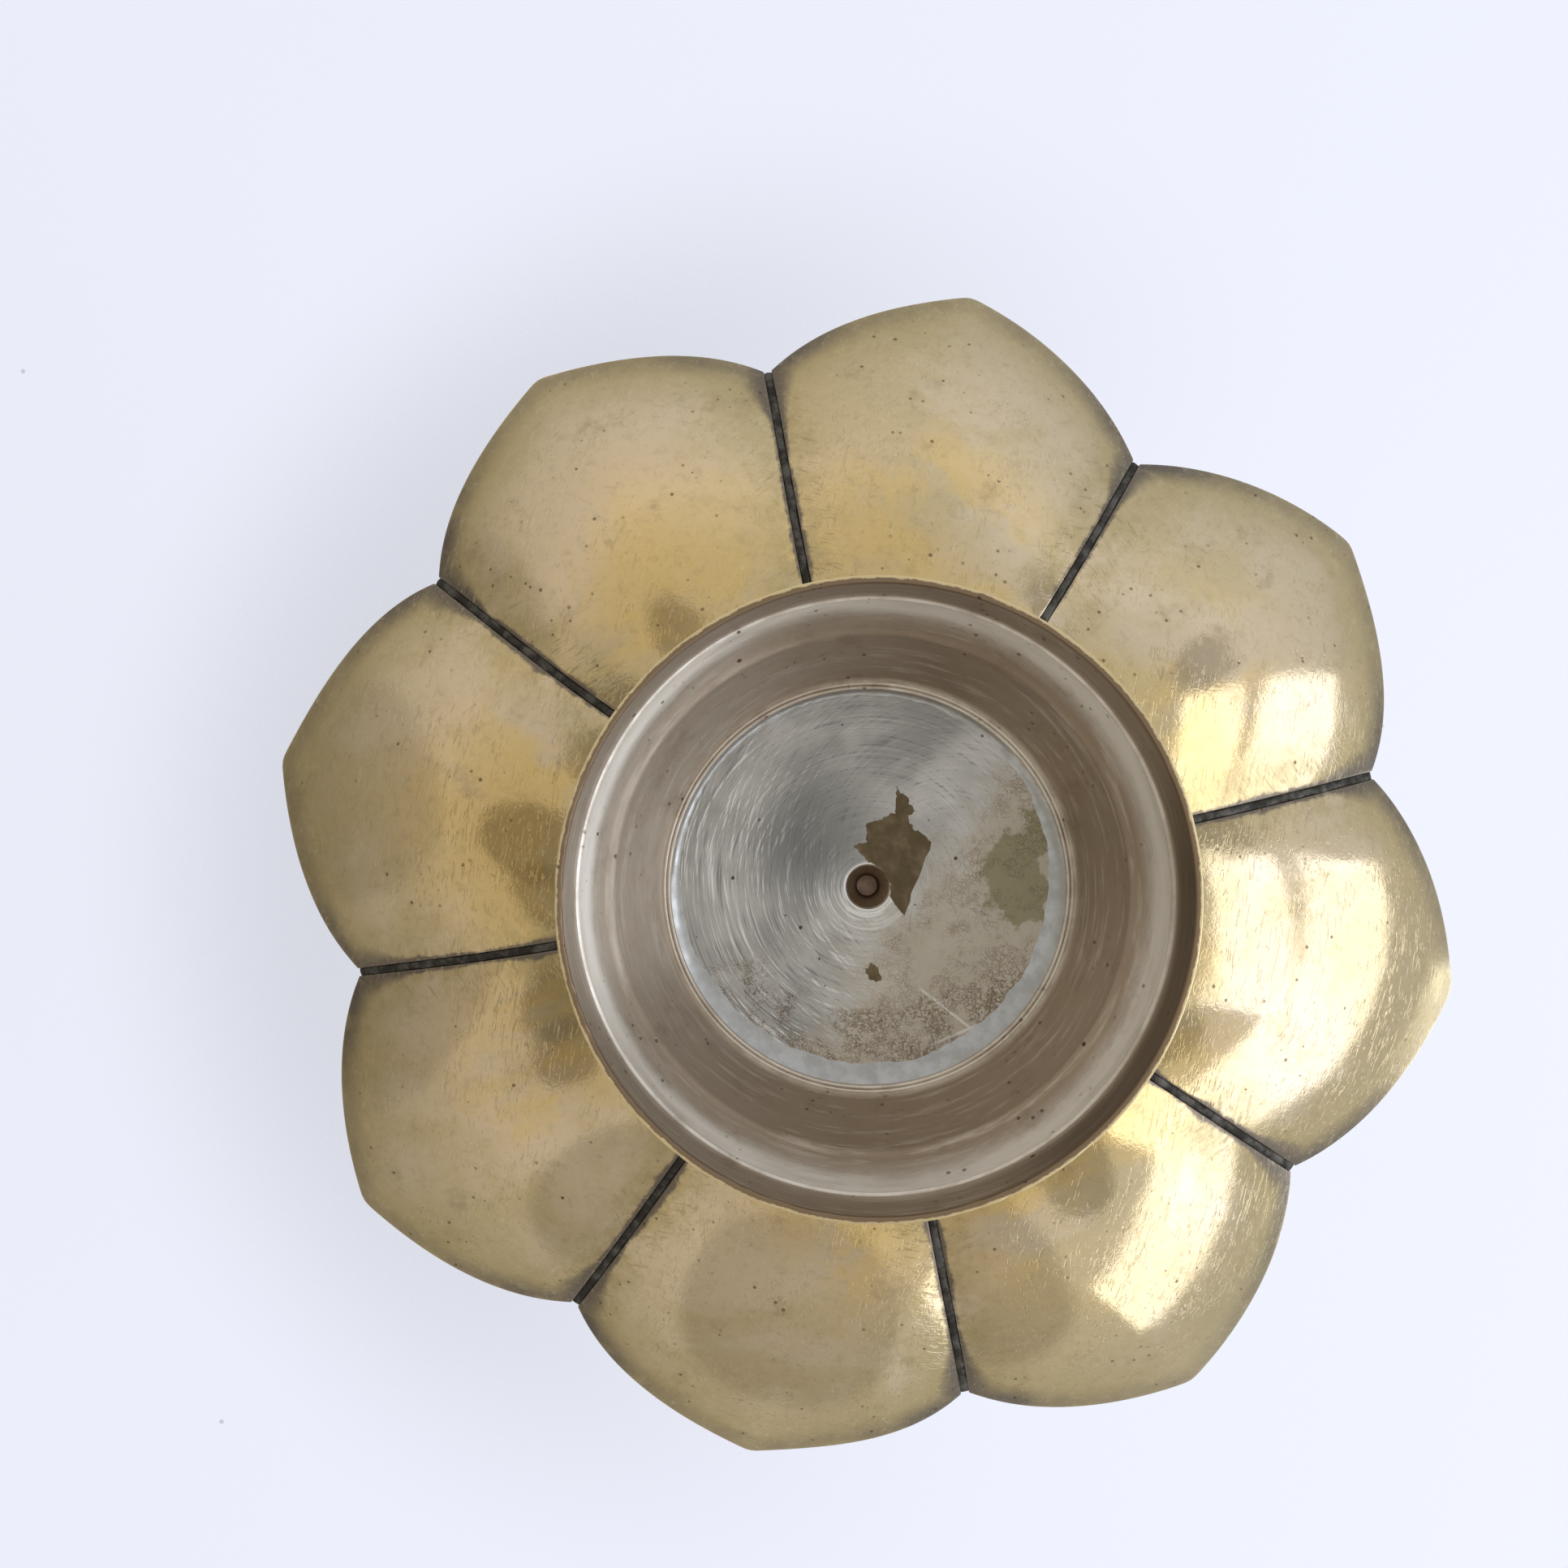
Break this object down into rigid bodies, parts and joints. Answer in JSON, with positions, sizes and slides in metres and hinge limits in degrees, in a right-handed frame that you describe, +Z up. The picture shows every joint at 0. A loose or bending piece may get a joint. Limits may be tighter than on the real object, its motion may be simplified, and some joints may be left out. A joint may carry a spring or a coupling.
{
  "type": "oil lamp",
  "caption": "Shallow brass lotus bowl lamp on a flared round foot, with domed pointed petals soldered edge to edge around a turned floor disc; holds lamp oil and a loose wick.",
  "frame": {"origin": "centre of the foot's rim, on the surface that the lamp stands on", "axes": "+Z up along the lamp's axis, +X through the point of the first petal"},
  "size_m": [0.161, 0.161, 0.0459],
  "materials": {
    "petal_brass": "aged hand polish",
    "turned_brass": "satin turned, tarnished",
    "faced_casting": "faced casting, dull grey film",
    "solder": "dull grey soft solder"
  },
  "bodies": {
    "root": {"pedestal_foot": "turned_brass", "base_disc": "faced_casting", "foot_solder": "solder", "hub_solder": "solder", "petal_1": "petal_brass", "petal_2": "petal_brass", "petal_3": "petal_brass", "petal_4": "petal_brass", "petal_5": "petal_brass", "petal_6": "petal_brass", "petal_7": "petal_brass", "petal_8": "petal_brass", "seam_solder_1": "solder", "seam_solder_2": "solder", "seam_solder_3": "solder", "seam_solder_4": "solder", "seam_solder_5": "solder", "seam_solder_6": "solder", "seam_solder_7": "solder", "seam_solder_8": "solder"}
  },
  "joints": []
}
